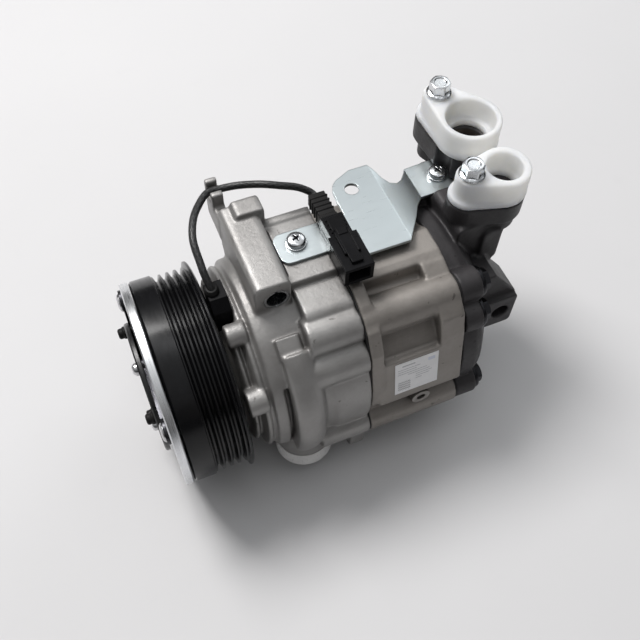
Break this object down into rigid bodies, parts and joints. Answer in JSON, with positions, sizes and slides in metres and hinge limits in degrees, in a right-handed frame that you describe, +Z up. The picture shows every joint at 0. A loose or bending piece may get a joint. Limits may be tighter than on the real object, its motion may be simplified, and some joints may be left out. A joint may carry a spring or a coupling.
{
  "type": "automotive air-conditioning compressor",
  "caption": "Belt-driven rotary vane car air-conditioning compressor with electromagnetic clutch, ribbed pulley, cast housing, mounting lugs, wiring bracket and capped pipe ports.",
  "frame": {"origin": "shaft axis at the centre of the four-rib belt track on the pulley", "axes": "+X along the shaft from the clutch towards the rear head, +Z up towards the pipe ports, -Y towards the side that carries the rating label"},
  "size_m": [0.1876, 0.1127, 0.1318],
  "materials": {
    "zinc_steel": "satin zinc plating",
    "rivet_steel": "satin",
    "hub_black": "semi-gloss black",
    "spring_steel": "dark oiled spring steel",
    "rubber_black": "matte",
    "armature_steel": "turned bright steel",
    "pulley_black": "gloss black",
    "bearing_steel": "ground and polished",
    "cage_polymer": "satin glass-filled polymer",
    "seal_rubber": "matte",
    "phosphate_steel": "dark phosphate",
    "coil_shell": "satin dark coating",
    "winding_copper": "varnished copper wire",
    "connector_black": "satin moulded plastic",
    "cable_black": "satin sleeve",
    "cast_aluminium": "as-cast, lightly blasted",
    "cast_dark": "semi-matte dark coating on casting",
    "plate_aluminium": "machined",
    "cam_iron": "ground bore, cast outside",
    "rotor_steel": "ground",
    "vane_anodised": "hard anodised",
    "reed_steel": "blued spring steel",
    "gasket_black": "coated sheet",
    "black_bolt": "black oxide",
    "cap_plastic": "milky translucent moulding",
    "valve_brass": "turned",
    "poppet_polymer": "satin",
    "zinc_plate": "pale blue zinc-plated sheet",
    "plug_steel": "dull plated",
    "label_paper": "satin film label"
  },
  "bodies": {
    "housing": {"bearing_inner_race": "bearing_steel", "bearing_snap_ring": "phosphate_steel", "coil_housing": "coil_shell", "coil_winding": "winding_copper", "coil_snap_ring": "phosphate_steel", "coil_lead_block": "connector_black", "lead_cable": "cable_black", "lead_connector": "connector_black", "front_head": "cast_aluminium", "mounting_sleeves": "zinc_steel", "shaft_seal": "rubber_black", "seal_retaining_ring": "phosphate_steel", "front_needle_bearing": "bearing_steel", "rear_needle_bearing": "bearing_steel", "front_side_plate": "plate_aluminium", "rear_side_plate": "plate_aluminium", "cam_ring": "cam_iron", "reed_stoppers": "rivet_steel", "reed_screws": "rivet_steel", "casing": "cast_aluminium", "casing_gasket": "gasket_black", "rear_head": "cast_dark", "rear_head_gasket": "gasket_black", "through_bolts": "black_bolt", "cover_bolt": "black_bolt", "suction_port_cap": "cap_plastic", "discharge_port_cap": "cap_plastic", "cap_bolts": "zinc_steel", "check_valve_seat": "valve_brass", "wiring_bracket": "zinc_plate", "bracket_screws": "zinc_steel", "casing_plug": "plug_steel", "rating_label": "label_paper", "boss_label": "label_paper"},
    "pulley": {"pulley": "pulley_black", "bearing_outer_race": "bearing_steel", "bearing_seals": "seal_rubber"},
    "bearing_cage_set": {"bearing_balls": "bearing_steel", "bearing_cage": "cage_polymer"},
    "shaft_group": {"clutch_hub": "hub_black", "hub_rivets": "rivet_steel", "rubber_stops": "rubber_black", "clutch_centre_bolt": "zinc_steel", "air_gap_shim": "rivet_steel", "shaft": "bearing_steel", "rotor": "rotor_steel"},
    "armature": {"armature_plate": "armature_steel", "armature_rivets": "rivet_steel", "hub_leaf_springs": "spring_steel"},
    "suction_valve": {"check_valve_poppet": "poppet_polymer", "check_valve_spring": "rivet_steel"},
    "reed_upper": {"reed_upper": "reed_steel"},
    "reed_lower": {"reed_lower": "reed_steel"},
    "vane_1": {"vane_1": "vane_anodised"},
    "vane_2": {"vane_2": "vane_anodised"},
    "vane_3": {"vane_3": "vane_anodised"},
    "vane_4": {"vane_4": "vane_anodised"},
    "vane_5": {"vane_5": "vane_anodised"}
  },
  "joints": [
    {"name": "pulley_spin", "type": "hinge", "parent": "housing", "child": "pulley", "pos_m": [0, 0, 0], "axis": [1, 0, 0], "continuous": true},
    {"name": "bearing_cage_spin", "type": "hinge", "parent": "housing", "child": "bearing_cage_set", "pos_m": [0, 0, 0], "axis": [1, 0, 0], "continuous": true},
    {"name": "shaft_spin", "type": "hinge", "parent": "housing", "child": "shaft_group", "pos_m": [0, 0, 0], "axis": [1, 0, 0], "continuous": true},
    {"name": "armature_pull_in", "type": "slide", "parent": "shaft_group", "child": "armature", "axis": [1, 0, 0], "range_m": [0, 0.00038]},
    {"name": "vane_1_slide", "type": "slide", "parent": "shaft_group", "child": "vane_1", "axis": [0, -0.1564, 0.9877], "range_m": [0, 0.0036]},
    {"name": "vane_2_slide", "type": "slide", "parent": "shaft_group", "child": "vane_2", "axis": [0, -0.9877, 0.1564], "range_m": [0, 0.0036]},
    {"name": "vane_3_slide", "type": "slide", "parent": "shaft_group", "child": "vane_3", "axis": [0, -0.454, -0.891], "range_m": [0, 0.0004]},
    {"name": "vane_4_slide", "type": "slide", "parent": "shaft_group", "child": "vane_4", "axis": [0, 0.7071, -0.7071], "range_m": [0, 0.006]},
    {"name": "vane_5_slide", "type": "slide", "parent": "shaft_group", "child": "vane_5", "axis": [0, 0.891, 0.454], "range_m": [0, 0.0004]},
    {"name": "reed_upper_lift", "type": "hinge", "parent": "housing", "child": "reed_upper", "pos_m": [0.09282, 0, 0.03662], "axis": [0, 1, 0], "range_deg": [0, 2.6]},
    {"name": "reed_lower_lift", "type": "hinge", "parent": "housing", "child": "reed_lower", "pos_m": [0.09282, 0, -0.03662], "axis": [0, -1, 0], "range_deg": [0, 2.6]},
    {"name": "check_valve_open", "type": "slide", "parent": "housing", "child": "suction_valve", "axis": [0, 0, -1], "range_m": [0, 0.004], "deforming": ["check_valve_spring"]}
  ],
  "couplings": [
    {"joint": "bearing_cage_spin", "follows": "pulley_spin", "ratio": 0.442}
  ]
}
